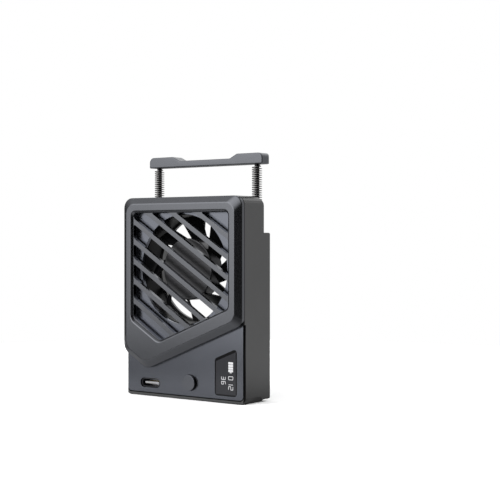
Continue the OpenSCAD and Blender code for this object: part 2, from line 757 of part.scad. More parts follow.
module stator_coils() {
    r0 = 4.3;
    len = sqrt(pow(stator_r - shoe_t, 2) - pow(coil_half, 2)) - 0.06 - r0;
    color([0.72, 0.4, 0.2]) from_face() for (i = [0:3]) fan_at(45 + 90 * i) difference() {
        side_plate(r0, r0 + len) polygon(rounded([[core_y - coil_over, -coil_half],
            [core_y + core_d + coil_over, -coil_half], [core_y + core_d + coil_over, coil_half],
            [core_y - coil_over, coil_half]], [0.6, 0.6, 0.6, 0.6]));
        translate([r0 - cut, core_y - fit, -0.8 - fit])
            cube([len + 2 * cut, core_d + 2 * fit, 1.6 + 2 * fit]);
    }
}
module sleeve_bearing() {
    color("goldenrod") from_face() fan_ring(bearing_r, shaft_r + run, bearing_y, bearing_back);
}
module thrust_pad() {
    color("white") from_face() bar_y([0, fan_z], bearing_r - 0.1, base_back - 0.6, base_back - 0.3);
}
// One blade: sections of [angle, depth] wrapped round the axis, from inside the hub's wall to the tip
blade_rings = 6;
blade_steps = 6;
function blade_mid(r, t) = [blade_angle + blade_lean * (r - hub_r) / (tip_r - hub_r) + blade_arc * (0.5 - t),
    blade_y + blade_d * t];
function blade_half(r, t) = (0.12 + 0.88 * sqrt(4 * t * (1 - t))) *
    (blade_t - (blade_t - 0.5) * (r - hub_r) / (tip_r - hub_r)) / 2;
function blade_point(r, t, side) = let(m = blade_mid(r, t), h = blade_half(r, t) * side,
    run_s = -blade_arc * PI / 180 * r, n = unit([blade_d, -run_s]), a = m.x + (h * n.x / r) * 180 / PI)
    [r * cos(a), m.y + h * n.y, fan_z + r * sin(a)];
module blade() {
    n = 2 * (blade_steps + 1);
    r0 = hub_r - hub_wall / 2;
    points = [for (k = [0:blade_rings - 1]) let(r = r0 + (tip_r - r0) * k / (blade_rings - 1)) each concat(
        [for (i = [0:blade_steps]) blade_point(r, i / blade_steps, 1)],
        [for (i = [blade_steps:-1:0]) blade_point(r, i / blade_steps, -1)])];
    last = (blade_rings - 1) * n;
    faces = concat(
        [for (k = [0:blade_rings - 2], i = [0:n - 1]) let(a = k * n + i, b = k * n + (i + 1) % n) each
            [[a, b, b + n], [a, b + n, a + n]]],
        [for (i = [0:blade_steps - 1]) each [[i, n - 1 - i, i + 1], [i + 1, n - 1 - i, n - 2 - i]]],
        [for (i = [0:blade_steps - 1]) each [[last + i, last + i + 1, last + n - 1 - i],
            [last + i + 1, last + n - 2 - i, last + n - 1 - i]]]);
    polyhedron(points, faces);
}
module impeller() {
    edge = 0.8;
    color([0.1, 0.1, 0.11]) from_face() {
        difference() {
            union() {
                difference() {
                    fan_turned() polygon(concat([[0, hub_y]],
                        [for (i = [0:5]) [hub_r - edge + edge * sin(i * 18), hub_y + edge - edge * cos(i * 18)]],
                        [[hub_r, hub_back], [0, hub_back]]));
                    bar_y([0, fan_z], hub_in, hub_y + hub_wall, hub_back + cut);
                }
                bar_y([0, fan_z], hub_boss_r, hub_y + hub_wall - cut, hub_y + hub_wall + 1);
            }
            bar_y([0, fan_z], shaft_r + fit, hub_y + 0.6, hub_back);
        }
        for (i = [0:blades - 1]) translate([0, 0, fan_z]) rotate([0, -360 * i / blades, 0])
            translate([0, 0, -fan_z]) blade();
    }
}
module rotor_yoke() {
    color("gray") from_face() {
        fan_ring(yoke_r, hub_boss_r + run, yoke_y, yoke_y + yoke_t);
        fan_ring(yoke_r, yoke_r - yoke_wall, yoke_y + yoke_t - cut, hub_back - 0.3);
    }
}
module rotor_magnet() {
    color([0.25, 0.22, 0.2]) from_face() fan_ring(magnet_r, magnet_in, magnet_y, magnet_y + magnet_d);
}
module fan_shaft() {
    color("silver") from_face() difference() {
        bar_y([0, fan_z], shaft_r, hub_y + 0.65, base_back - 0.65);
        fan_ring(2 * shaft_r, shaft_r - 0.25, bearing_back + 0.05, bearing_back + 0.3);
    }
}
module shaft_clip() {
    color("white") from_face() difference() {
        bar_y([0, fan_z], shaft_r + 0.6, bearing_back + 0.07, bearing_back + 0.27);
        bar_y([0, fan_z], shaft_r - 0.23, bearing_back, bearing_back + 0.4);
        translate([0, bearing_back, fan_z - 0.3]) cube([3 * shaft_r, 0.4, 0.6]);
    }
}

// Clamp
module clamp_arm() {
    x = arm_w / 2;
    top = arm_z + arm_t + arm_end_t;
    slope = arm_mid + 2 * arm_end_t;
    color([0.4, 0.4, 0.41]) from_face() difference() {
        intersection() {
            plate(arm_y, arm_y + arm_d) polygon(rounded([[-x, arm_z], [x, arm_z], [x, top], [slope, top],
                [arm_mid, arm_z + arm_t], [-arm_mid, arm_z + arm_t], [-slope, top], [-x, top]],
                [0.8, 0.8, arm_r, 1, 1, 1, 1, arm_r]));
            translate([0, 0, arm_z - cut]) linear_extrude(top - arm_z + 2 * cut)
                polygon(rounded([[-x, arm_y], [x, arm_y], [x, arm_y + arm_d], [-x, arm_y + arm_d]],
                    [0.5, 0.5, arm_r, arm_r]));
        }
        for (s = [-1, 1]) translate([s * rod_x, rod_y, arm_z - cut])
            cylinder(r = rod_r + fit, h = rod_top - arm_z + cut + fit);
    }
}
module guide_rod(s) {
    color([0.2, 0.2, 0.21]) from_face() translate([s * rod_x, rod_y, 0]) difference() {
        translate([0, 0, rod_low]) cylinder(r = rod_r, h = rod_top - rod_low);
        translate([0, 0, clip_z - fit]) difference() {
            cylinder(r = 2 * rod_r, h = clip_t + 2 * fit);
            translate([0, 0, -cut]) cylinder(r = groove_r, h = clip_t + 2 * cut + 2 * fit);
        }
    }
}
module rod_clip(s) {
    color("silver") from_face() translate([s * rod_x, rod_y, clip_z]) difference() {
        cylinder(r = clip_r, h = clip_t);
        translate([0, 0, -cut]) cylinder(r = groove_r + fit, h = clip_t + 2 * cut);
        translate([-groove_r * 0.8, -2 * clip_r, -cut]) cube([groove_r * 1.6, 2 * clip_r, clip_t + 2 * cut]);
    }
}
module guide_bush(s) {
    color("goldenrod") from_face() translate([s * rod_x, rod_y, 0]) difference() {
        union() {
            translate([0, 0, web_low]) cylinder(r = bush_r, h = bush_len + cut);
            translate([0, 0, web_top]) cylinder(r = flange_r, h = flange_t);
        }
        translate([0, 0, web_low - cut]) cylinder(r = rod_r + run, h = bush_len + flange_t + 2 * cut);
    }
}

// Springs: one wire that stands up from its seat, bends over and winds up to the arm.
// A point of its middle line is [distance along the curls, height], wrapped round the rod.
bend_r = 0.6;
spring_rise = arm_z - seat_z - 2 * wire_d - 2 * bend_r;
curl_len = 2 * PI * spring_r;
tilt = atan(spring_rise / (curls * curl_len));
bend_steps = 4;
wind_steps = curls * 8;
wind_s = curls * curl_len;
function bend_line(i) = let(a = (90 - tilt) * i / bend_steps)
    [bend_r * (1 - cos(a)), wire_d + bend_r * sin(a), 90 - a];
foot = bend_line(bend_steps);
climb = arm_z - seat_z - 2 * foot.y;
lower_bend = [for (i = [0:bend_steps]) bend_line(i)];
upper_bend = [for (i = [bend_steps:-1:0]) let(p = bend_line(i))
    [2 * foot.x + wind_s - p.x, arm_z - seat_z - p.y, p.z]];
winding = [for (i = [1:wind_steps - 1]) [foot.x + wind_s * i / wind_steps, foot.y + climb * i / wind_steps, tilt]];
line = concat([[0, 0, 90]], lower_bend, winding, upper_bend, [[2 * foot.x + wind_s, arm_z - seat_z, 90]]);
function on_line(p) = let(a = p.x / spring_r * 180 / PI) [spring_r * cos(a), spring_r * sin(a), p.y];
function wire_ring(p) = let(a = p.x / spring_r * 180 / PI, out = [cos(a), sin(a), 0],
    up = [sin(p.z) * -sin(a), sin(p.z) * cos(a), -cos(p.z)])
    [for (k = [0:5]) on_line(p) + wire_d / 2 * (cos(60 * k) * out + sin(60 * k) * up)];
spring_gap = min([for (i = [0:len(line) - 12], j = [i + 5:i + 11])
    norm(on_line(line[i]) - on_line(line[j])) - wire_d]);
module spring(s) {
    echo(str("least gap of the spring to itself ", spring_gap, " mm"));
    n = len(line);
    color("silver") from_face() translate([s * rod_x, rod_y, seat_z]) rotate([0, 0, -90]) polyhedron(
        [for (p = line) each wire_ring(p)],
        concat([for (k = [1:4]) [0, k, k + 1]],
            [for (i = [0:n - 2], k = [0:5]) let(a = 6 * i + k, b = 6 * i + (k + 1) % 6) each
                [[a, a + 6, b + 6], [a, b + 6, b]]],
            [for (k = [1:4]) [6 * n - 6, 6 * n - 6 + k + 1, 6 * n - 6 + k]]));
}

front_cover();
front_panel();
rear_shell();
shell_screws();
display_window();
display_module();
display_ribbon();
button_cap();
switch_plunger();
tact_switch();
usb_shell();
usb_tongue();
main_board();
board_chips();
board_connectors();
board_screws();
temperature_sensor();
battery_cell();
battery_pad();
battery_leads();
fan_lead();
fan_frame();
fan_screws();
motor_board();
stator_core();
stator_coils();
sleeve_bearing();
thrust_pad();
impeller();
rotor_yoke();
rotor_magnet();
fan_shaft();
shaft_clip();
clamp_arm();
guide_rod(-1);  // guide_rod_left
guide_rod(1);  // guide_rod_right
rod_clip(-1);  // rod_clip_left
rod_clip(1);  // rod_clip_right
guide_bush(-1);  // guide_bush_left
guide_bush(1);  // guide_bush_right
spring(-1);  // spring_left
spring(1);  // spring_right
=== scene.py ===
# %% [markdown]
# # A camera cooling fan, dressed for its picture
# The fan is a slim box with a slanted louvred cover, a bladed rotor behind it and a sprung
# clamp arm on top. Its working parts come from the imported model, which is loaded first and
# never moved. This script gives those parts their finishes, and models again the pieces whose
# soft edges and small details make the picture: the cover, the clamp arm, the springs, the
# impeller, the shell's rims, the button, the display and the socket.

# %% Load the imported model
import math
from contextlib import contextmanager

import bmesh
import bpy
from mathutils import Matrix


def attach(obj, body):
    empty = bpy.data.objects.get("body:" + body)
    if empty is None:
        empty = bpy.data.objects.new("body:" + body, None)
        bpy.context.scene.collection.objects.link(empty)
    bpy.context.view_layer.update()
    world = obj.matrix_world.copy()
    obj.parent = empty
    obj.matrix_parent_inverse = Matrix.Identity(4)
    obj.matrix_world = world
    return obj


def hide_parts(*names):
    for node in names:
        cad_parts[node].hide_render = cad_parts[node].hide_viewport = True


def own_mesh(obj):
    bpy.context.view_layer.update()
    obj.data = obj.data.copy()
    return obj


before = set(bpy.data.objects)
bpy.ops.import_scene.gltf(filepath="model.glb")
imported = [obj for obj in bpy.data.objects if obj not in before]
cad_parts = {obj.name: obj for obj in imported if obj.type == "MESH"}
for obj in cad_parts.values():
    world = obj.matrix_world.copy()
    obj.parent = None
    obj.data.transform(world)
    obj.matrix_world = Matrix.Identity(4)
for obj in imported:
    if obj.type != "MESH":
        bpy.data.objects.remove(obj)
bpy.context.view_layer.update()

print("nodes loaded:", len(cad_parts))

# %% [markdown]
# ## The camera
# The photograph's camera stood to the right of the fan, about 45 cm away, at two thirds of its
# height. Its place and lens were worked out from the body's straight edges. It is held level,
# so the upright edges stay parallel, and the small shift only moves the picture's middle.

# %% Camera
mm = 0.001
bpy.ops.object.camera_add(location=(284.5 * mm, -350.4 * mm, 58.8 * mm),
                          rotation=(math.radians(90), 0, math.radians(36.515)))
camera = bpy.context.object
camera.data.lens = 87.24
camera.data.sensor_width = 36
camera.data.shift_y = -0.0213
camera.data.clip_start = 0.01
bpy.context.scene.camera = camera
bpy.context.scene.view_settings.view_transform = "Standard"
print("camera at", [round(c, 4) for c in camera.location])

# %% [markdown]
# ## Helpers for modelling
# Every new piece starts as a primitive and is shaped in edit mode. The work is done with one
# unit for a millimetre, because the tools' own tolerances are meant for sizes near one, and
# each finished piece is shrunk to metres. An operator works on all that is selected, so these
# helpers clear the selection, open one piece, and pick its faces or edges by where they are.

# %% Modelling helpers
def clear_selection():
    bpy.ops.object.select_all(action="DESELECT")


def only(piece):
    clear_selection()
    bpy.context.view_layer.objects.active = piece
    piece.select_set(True)


@contextmanager
def editing(piece):
    only(piece)
    bpy.ops.object.mode_set(mode="EDIT")
    bpy.ops.mesh.select_all(action="SELECT")
    yield
    bpy.ops.object.mode_set(mode="OBJECT")


def pick(kind, test):
    """Selects the corners, edges or faces of the open piece that pass the test."""
    bpy.ops.mesh.select_mode(type=kind)
    bpy.ops.mesh.select_all(action="DESELECT")
    shape = bmesh.from_edit_mesh(bpy.context.object.data)
    parts = {"VERT": shape.verts, "EDGE": shape.edges, "FACE": shape.faces}[kind]
    found = [part for part in parts if test(part)]
    for part in found:
        part.select_set(True)
    shape.select_flush_mode()
    bmesh.update_edit_mesh(bpy.context.object.data)
    return len(found)


def block(name, low, high):
    """A cube stretched from one corner to the other, with its place in its mesh."""
    clear_selection()
    bpy.ops.mesh.primitive_cube_add(size=1, location=[(a + b) / 2 for a, b in zip(low, high)],
                                    scale=[b - a for a, b in zip(low, high)])
    made = bpy.context.object
    made.name = made.data.name = name
    bpy.ops.object.transform_apply()
    return made


def cut_away(point, outward):
    """Cuts the whole open piece by a plane and closes the cut."""
    bpy.ops.mesh.select_all(action="SELECT")
    bpy.ops.mesh.bisect(plane_co=point, plane_no=outward, use_fill=True, clear_outer=True)


def runs_along(axis):
    """A test for edges that are parallel to an axis, 0 for X, 1 for Y and 2 for Z."""
    def test(edge):
        run = edge.verts[1].co - edge.verts[0].co
        return run.length > 0 and abs(run[axis]) > 0.999 * run.length
    return test


along_y = runs_along(1)
along_z = runs_along(2)


def bevel(width, steps):
    bpy.ops.mesh.bevel(offset=width, segments=steps, affect="EDGES", clamp_overlap=True)


def soften(piece, width, steps=2, angle=30):
    """Rounds every edge that turns by more than the angle, and smooths the shading."""
    only(piece)
    bpy.ops.object.modifier_add(type="BEVEL")
    rounding = piece.modifiers[-1]
    rounding.width = width
    rounding.segments = steps
    rounding.limit_method = "ANGLE"
    rounding.angle_limit = math.radians(angle)
    bpy.ops.object.modifier_apply(modifier=rounding.name)
    bpy.ops.object.shade_smooth_by_angle(angle=math.radians(40))
    bpy.ops.object.modifier_add(type="WEIGHTED_NORMAL")
    piece.modifiers[-1].keep_sharp = True
    bpy.ops.object.modifier_apply(modifier=piece.modifiers[-1].name)


def combine(piece, other, operation):
    """Cuts the other piece out of a piece, or joins it on, and deletes the other."""
    only(piece)
    bpy.ops.object.modifier_add(type="BOOLEAN")
    step = piece.modifiers[-1]
    step.operation = operation
    step.object = other
    bpy.ops.object.modifier_apply(modifier=step.name)
    bpy.data.objects.remove(other)


def copy_of(piece, name, move=(0, 0, 0)):
    """A copy with its own mesh, moved in its mesh."""
    only(piece)
    bpy.ops.object.duplicate()
    made = bpy.context.object
    made.name = made.data.name = name
    made.location = move
    bpy.ops.object.transform_apply()
    return made


def join(pieces, name):
    """Makes several pieces one, under one name."""
    clear_selection()
    for piece in pieces:
        piece.select_set(True)
    bpy.context.view_layer.objects.active = pieces[0]
    bpy.ops.object.join()
    pieces[0].name = pieces[0].data.name = name
    return pieces[0]


def to_metres(piece):
    """Shrinks a piece that was modelled in millimetres to its real size."""
    only(piece)
    piece.scale = (mm, mm, mm)
    bpy.ops.object.transform_apply()


# %% [markdown]
# ## The body's main sizes
# The fan stands on its lower end, with its middle at X = 0 and its depth shared equally to
# the front and back of Y = 0. Depths are measured back from the cover's face, as a maker
# would, so a depth is turned into Y by adding the place of that face.

# %% Sizes in millimetres
body_width = 56
body_height = 74.4
face = -10.4
panel_face = face + 3.3
half_width = body_width / 2
foot_slope = math.radians(22.097)
left_slope = math.radians(30.7)
bar_slope = math.radians(32.2)
foot_right = body_height - 46
tip_inset = 11.4
tip = (-half_width + tip_inset, body_height - 64.1)
foot_left = tip[1] + tip_inset * math.tan(left_slope)
down_right = (math.sin(foot_slope), 0, -math.cos(foot_slope))
down_left = (-math.sin(left_slope), 0, -math.cos(left_slope))
print("cover foot at", round(foot_right, 2), "right and", round(foot_left, 2), "left")

# %% [markdown]
# ## The cover's frame
# The real cover is one moulding: a wide bevelled frame with a slanted foot. A block is cut
# by two planes for the foot. Its face is then inset and pulled forward, which makes an even
# bevel all the way round, and the corners are rounded together with the bevel's mitres.

# %% Cover frame
bevel_depth = 1.7
bevel_width = 2.4
top_corner = 3.4
foot_corner = 2.2
shoulder = 60
cover = block("cover_frame", (-half_width, face + bevel_depth, 5),
              (half_width, panel_face, body_height))
with editing(cover):
    cut_away((half_width, 0, foot_right), down_right)
    cut_away((tip[0], 0, tip[1]), down_left)
    pick("FACE", lambda part: part.normal.y < -0.9)
    bpy.ops.mesh.inset(thickness=bevel_width, depth=bevel_depth)
    for low, high, radius in ((shoulder, body_height + 1, top_corner), (0, shoulder, foot_corner)):
        corners = pick("EDGE", lambda part: abs(part.verts[0].co.y - part.verts[1].co.y) > 0.5
                       and low < part.verts[0].co.z < high)
        bevel(radius, 8)
        print("corner edges rounded:", corners)

# %% [markdown]
# ## The opening and its louvres
# The opening follows both slopes of the cover's foot, and is cut with a block of that outline.
# The bars are what is left of a thin plate when ten slots are cut through it, so the slots'
# corners are rounded in the cutters, where that is easy.

# %% Opening
opening_x = half_width - 5.5
opening_top = body_height - 5.8
opening_corner = 1.4
opening_bevel = 0.8
frame_below = 7.5
bar_pitch = 7.43
bar_width = 2.1
bar_sink = 0.9
bar_depth = 1.5
first_bar = body_height - 8.05
right_edge = (foot_right - half_width * math.tan(foot_slope)
              + frame_below / math.cos(foot_slope))
left_edge = body_height - 58.9


def opening_block(name, front, back, grow=0.0):
    """A block with the outline of the opening."""
    made = block(name, (-opening_x - grow, front, 0),
                 (opening_x + grow, back, opening_top + grow))
    with editing(made):
        cut_away((0, 0, right_edge - grow / math.cos(foot_slope)), down_right)
        cut_away((0, 0, left_edge - grow / math.cos(left_slope)), down_left)
    return made


hole = opening_block("opening_cutter", face - 1, panel_face + 1)
with editing(hole):
    pick("EDGE", along_y)
    bevel(opening_corner, 6)
combine(cover, hole, "DIFFERENCE")


def at_opening(edge):
    """An edge of the cover's face that belongs to the opening."""
    x, y, z = (edge.verts[0].co + edge.verts[1].co) / 2
    return (y < face + 0.01 and abs(x) < opening_x + 0.1 and z < opening_top + 0.1
            and z > right_edge + x * math.tan(foot_slope) - 0.2
            and z > left_edge - x * math.tan(left_slope) - 0.2)


with editing(cover):
    rim_edges = pick("EDGE", at_opening)
    bevel(opening_bevel, 1)
print("edges round the opening:", rim_edges)
soften(cover, 0.3, 3, 20)

# %% Louvres
slot_corner = 1.0
first_slot, last_slot = -2, 7
louvres = opening_block("louvres", face + bar_sink, face + bar_sink + bar_depth, 0.3)
for number in range(first_slot, last_slot + 1):
    slot = opening_block("slot_cutter", face, panel_face + 1)
    upper = first_bar - number * bar_pitch - bar_width / 2
    lower = upper - bar_pitch + bar_width
    with editing(slot):
        if number > first_slot:
            cut_away((0, 0, upper), (math.sin(bar_slope), 0, math.cos(bar_slope)))
        cut_away((0, 0, lower), (-math.sin(bar_slope), 0, -math.cos(bar_slope)))
        if pick("EDGE", along_y):
            bevel(slot_corner, 5)
    combine(louvres, slot, "DIFFERENCE")
soften(louvres, 0.2, 2, 50)
cover = join([cover, louvres], "cover_with_louvres")
print("cover faces:", len(cover.data.polygons))
to_metres(cover)

# %% [markdown]
# ## The clamp arm
# The arm is a flat bar whose two ends are thicker, so that only they press on the camera.
# Two pairs of cuts give the bar corners where the slopes start and end, and the corners
# beyond them are lifted. The rods end inside the arm, so it needs no holes that show.

# %% Clamp arm
arm_low = 86.3
arm_middle = 2.4
arm_lift = 1.65
arm_top = arm_low + arm_middle + arm_lift
arm_half = 27
arm_front = face + 15.1
arm_back = face + 20.8
slope_start = 12
slope_end = 15.3
arm = block("arm", (-arm_half, arm_front, arm_low), (arm_half, arm_back, arm_low + arm_middle))
with editing(arm):
    for x in (-slope_end, -slope_start, slope_start, slope_end):
        bpy.ops.mesh.select_all(action="SELECT")
        bpy.ops.mesh.bisect(plane_co=(x, 0, 0), plane_no=(1, 0, 0))
    pick("VERT", lambda corner: abs(corner.co.x) > slope_end - 0.1 and corner.co.z > arm_low + 1)
    bpy.ops.transform.translate(value=(0, 0, arm_lift))
    pick("EDGE", lambda edge: abs(edge.verts[0].co.x) > arm_half - 1 and (
        (along_z(edge) and edge.verts[0].co.y > arm_back - 1)
        or (along_y(edge) and edge.verts[0].co.z > arm_top - 1)))
    bevel(2.0, 8)
soften(arm, 0.4, 3, 22)
print("arm faces:", len(arm.data.polygons))
to_metres(arm)

# %% [markdown]
# ## The springs
# Each spring is drawn wire with a round section. A small circle is swept up and round the
# rod by a Screw modifier, and then each end is bent over by a quarter turn of the spin tool
# and pulled straight, so that the wire meets its seat and the arm squarely.

# %% Springs
rod_x = 23.4
rod_y = face + 16.95
seat = 52.2
curls = 40
wire = 0.36
coil_radius = 1.72
bend = 0.6
tilt = math.atan((arm_low - seat - 2 * wire - 2 * bend) / (curls * 2 * math.pi * coil_radius))
bend_rise = wire + bend * math.cos(tilt)
climb = arm_low - seat - 2 * bend_rise


def spring(name, x):
    clear_selection()
    bpy.ops.mesh.primitive_circle_add(vertices=10, radius=wire / 2,
                                      location=(coil_radius, 0, bend_rise),
                                      rotation=(math.pi / 2 + tilt, 0, 0))
    made = bpy.context.object
    made.name = made.data.name = name
    bpy.ops.object.transform_apply()
    bpy.ops.object.modifier_add(type="SCREW")
    sweep = made.modifiers[-1]
    sweep.axis = "Z"
    sweep.angle = 2 * math.pi
    sweep.iterations = curls
    sweep.screw_offset = climb / curls
    sweep.steps = sweep.render_steps = 20
    sweep.use_merge_vertices = False
    bpy.ops.object.modifier_apply(modifier=sweep.name)
    with editing(made):
        for top in (False, True):
            z = bend_rise + (climb if top else 0)
            way = 1 if top else -1
            middle = (coil_radius, -way * bend * math.sin(tilt), z + way * bend * math.cos(tilt))
            pick("EDGE", lambda edge: edge.is_boundary and abs(edge.verts[0].co.z - z) < wire)
            bpy.ops.mesh.spin(steps=5, angle=math.pi / 2 - tilt, center=middle, axis=(1, 0, 0),
                              dupli=False)
            bpy.ops.mesh.extrude_region_move(TRANSFORM_OT_translate={"value": (0, 0, way * wire)})
            bpy.ops.mesh.edge_face_add()
        bpy.ops.mesh.select_all(action="SELECT")
        bpy.ops.mesh.remove_doubles(threshold=0.001)
        bpy.ops.mesh.normals_make_consistent(inside=False)
    only(made)
    made.location = (x, rod_y, seat)
    bpy.ops.object.transform_apply()
    bpy.ops.object.shade_smooth_by_angle(angle=math.radians(50))
    heights = [corner.co.z for corner in made.data.vertices]
    print(name, "stands from", round(min(heights), 2), "to", round(max(heights), 2), "mm")
    to_metres(made)
    return made


left_spring = spring("spring_wire_left", -rod_x)
right_spring = spring("spring_wire_right", rod_x)

# %% [markdown]
# ## The impeller
# The rotor is one moulding: a cup-shaped hub with eight leaning blades. A blade is a radial
# edge that climbs and turns at once, which is what the Screw modifier does, and Solidify gives
# it a wall. Everything is made round the Y axis first and lifted to the fan's middle last.

# %% Blades
fan_z = body_height - 26.6
hub_radius = 11.4
blade_count = 8
blade_wall = 0.75
blade_front = face + 6.8
blade_depth = 4.9
blade_turn = math.radians(20)
blade_lean = math.radians(21)
blade_place = math.radians(73)
root_radius = hub_radius - 0.45
tip_radius = 19.35


def blade():
    """One blade: half of a plane is deleted, and the edge that stays is swept."""
    clear_selection()
    bpy.ops.mesh.primitive_plane_add(size=1)
    made = bpy.context.object
    with editing(made):
        pick("VERT", lambda corner: corner.co.y > 0)
        bpy.ops.mesh.delete(type="VERT")
        for side, radius, angle in ((-1, root_radius, 0), (1, tip_radius, blade_lean)):
            pick("VERT", lambda corner: abs(corner.co.x - side * 0.5) < 0.1)
            bpy.ops.transform.translate(value=(radius * math.cos(angle) - side * 0.5,
                                               blade_front + 0.5, radius * math.sin(angle)))
        bpy.ops.mesh.select_all(action="SELECT")
        bpy.ops.mesh.subdivide(number_cuts=9)
    bpy.ops.object.modifier_add(type="SCREW")
    sweep = made.modifiers[-1]
    sweep.axis = "Y"
    sweep.angle = blade_turn
    sweep.screw_offset = blade_depth
    sweep.steps = sweep.render_steps = 12
    bpy.ops.object.modifier_apply(modifier=sweep.name)
    bpy.ops.object.modifier_add(type="SOLIDIFY")
    made.modifiers[-1].thickness = blade_wall
    made.modifiers[-1].offset = 0
    bpy.ops.object.modifier_apply(modifier=made.modifiers[-1].name)
    with editing(made):
        bpy.ops.mesh.normals_make_consistent(inside=False)
    soften(made, 0.22, 2, 50)
    return made


def turned_copy(piece, name, angle):
    """A copy that is turned round the fan's axis, in its mesh."""
    made = copy_of(piece, name)
    made.rotation_euler = (0, -angle, 0)
    only(made)
    bpy.ops.object.transform_apply()
    return made


first = blade()
for end in (blade_front, blade_front + blade_depth):
    roots = [corner.co for corner in first.data.vertices if abs(corner.co.y - end) < 0.5
             and math.hypot(corner.co.x, corner.co.z) < root_radius + 1]
    print("blade root angle at depth", round(end - face, 1), "is",
          round(sum(math.degrees(math.atan2(root.z, root.x)) for root in roots) / len(roots), 1))
blade_share = 2 * math.pi / blade_count
blades = join([turned_copy(first, "blade", blade_place + blade_turn / 2 + blade_share * number)
               for number in range(blade_count)], "impeller_blades")
bpy.data.objects.remove(first)
print("blade faces:", len(blades.data.polygons))

# %% [markdown]
# The hub starts as a cylinder. Its back is inset and pushed forward inside, so that it becomes
# a cup with room for the motor. The ring on its front keeps the shading of the disc flat.

# %% Hub
hub_front = face + 5.5
hub_depth = 6.4
hub_wall = 0.9
clear_selection()
bpy.ops.mesh.primitive_cylinder_add(vertices=128, radius=hub_radius, depth=hub_depth,
                                    rotation=(math.pi / 2, 0, 0),
                                    location=(0, hub_front + hub_depth / 2, 0))
hub = bpy.context.object
bpy.ops.object.transform_apply()
with editing(hub):
    pick("FACE", lambda part: part.normal.y < -0.9)
    bpy.ops.mesh.inset(thickness=hub_wall, depth=0)
    pick("FACE", lambda part: part.normal.y > 0.9)
    bpy.ops.mesh.inset(thickness=hub_wall, depth=0)
    bpy.ops.mesh.extrude_region_move(TRANSFORM_OT_translate={"value": (0, hub_wall - hub_depth, 0)})
soften(hub, 0.55, 4, 50)
hub.name = hub.data.name = "impeller_hub"
for piece in (blades, hub):
    piece.location = (0, 0, fan_z)
    only(piece)
    bpy.ops.object.transform_apply()
    to_metres(piece)
print("hub faces:", len(hub.data.polygons))

# %% [markdown]
# ## The rear shell
# The shell's shape is right in the imported model, apart from two edges. So its mesh is copied
# and merged, and worked on as any other piece. The air leaves through a round hole in the back
# wall whose lip stands inwards a little: a flat ring is made with the spin tool and joined on.
# Below the cover the shell's rim is bevelled, and the bevel later takes a darker metal as painted
# shade, which shows as a dark line beside the panel.

# %% Outlet lip
outlet_radius = 19.35
lip_reach = 0.95
lip_depth = 1.3
lip_y = face + 14.15
clear_selection()
bpy.ops.mesh.primitive_plane_add(size=1)
lip = bpy.context.object
lip.name = lip.data.name = "outlet_lip"
lip.scale = (lip_reach, lip_depth, 1)
lip.location = (outlet_radius + lip_reach / 2, lip_y, 0)
bpy.ops.object.transform_apply()
with editing(lip):
    bpy.ops.mesh.delete(type="ONLY_FACE")
    pick("EDGE", lambda edge: True)
    bpy.ops.mesh.spin(steps=120, angle=2 * math.pi, center=(0, lip_y, 0), axis=(0, 1, 0),
                      dupli=False)
    bpy.ops.mesh.select_all(action="SELECT")
    bpy.ops.mesh.remove_doubles(threshold=0.001)
    bpy.ops.mesh.select_all(action="SELECT")
    bpy.ops.mesh.normals_make_consistent(inside=False)
soften(lip, 0.2, 3, 50)
lip.location = (0, 0, fan_z)
only(lip)
bpy.ops.object.transform_apply()
print("lip size in mm:", [round(c, 2) for c in lip.dimensions])

# %% Shell
shell = bpy.data.objects.new("shell_with_lips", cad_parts["rear_shell"].data.copy())
bpy.context.collection.objects.link(shell)
only(shell)
shell.scale = (1 / mm, 1 / mm, 1 / mm)
bpy.ops.object.transform_apply()
with editing(shell):
    bpy.ops.mesh.remove_doubles(threshold=0.0005)
    print("open edges in the shell:", pick("EDGE", lambda edge: not edge.is_manifold))
combine(shell, lip, "UNION")
rim = 0.65
reach = rim / math.sqrt(2)
for side, rim_top in ((1, foot_right), (-1, foot_left)):
    corner = block("rim_cutter", (-reach, -reach, -1), (reach, reach, rim_top))
    corner.rotation_euler = (0, 0, math.radians(45))
    corner.location = (side * half_width, panel_face, 0)
    only(corner)
    bpy.ops.object.transform_apply()
    combine(shell, corner, "DIFFERENCE")
only(shell)
bpy.ops.object.shade_smooth_by_angle(angle=math.radians(25))
bpy.ops.object.modifier_add(type="WEIGHTED_NORMAL")
shell.modifiers[-1].keep_sharp = True
shell.modifiers[-1].weight = 100
bpy.ops.object.modifier_apply(modifier=shell.modifiers[-1].name)
print("shell faces:", len(shell.data.polygons))
to_metres(shell)

# %% [markdown]
# ## The power button
# The button is a flat disc with a crisp edge. Its flange is wider than its hole, so it can't
# fall out, and a short stem reaches back to the switch. A disc for the flange comes first. Its
# front is inset and pulled forward for the cap, and its back is inset and pushed back.

# %% Power button
button_x = 3.1
button_z = 6.35
button_radius = 2.85
button_front = face + 2.1
flange = 0.9
flange_front = face + 4.95
flange_depth = 0.7
stem_radius = 1.0
stem_end = max(corner.co.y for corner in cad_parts["button_cap"].data.vertices) / mm
clear_selection()
bpy.ops.mesh.primitive_cylinder_add(vertices=96, radius=button_radius + flange,
                                    depth=flange_depth, rotation=(math.pi / 2, 0, 0),
                                    location=(button_x, flange_front + flange_depth / 2, button_z))
button = bpy.context.object
button.name = button.data.name = "power_button"
bpy.ops.object.transform_apply()
with editing(button):
    pick("FACE", lambda part: part.normal.y < -0.9)
    bpy.ops.mesh.inset(thickness=flange, depth=0)
    bpy.ops.mesh.extrude_region_move(TRANSFORM_OT_translate={
        "value": (0, button_front - flange_front, 0)})
    pick("FACE", lambda part: part.normal.y > 0.9)
    bpy.ops.mesh.inset(thickness=button_radius + flange - stem_radius, depth=0)
    bpy.ops.mesh.extrude_region_move(TRANSFORM_OT_translate={
        "value": (0, stem_end - flange_front - flange_depth, 0)})
soften(button, 0.12, 3, 50)
print("button and stem are", round(button.dimensions.y, 2), "mm long")
to_metres(button)

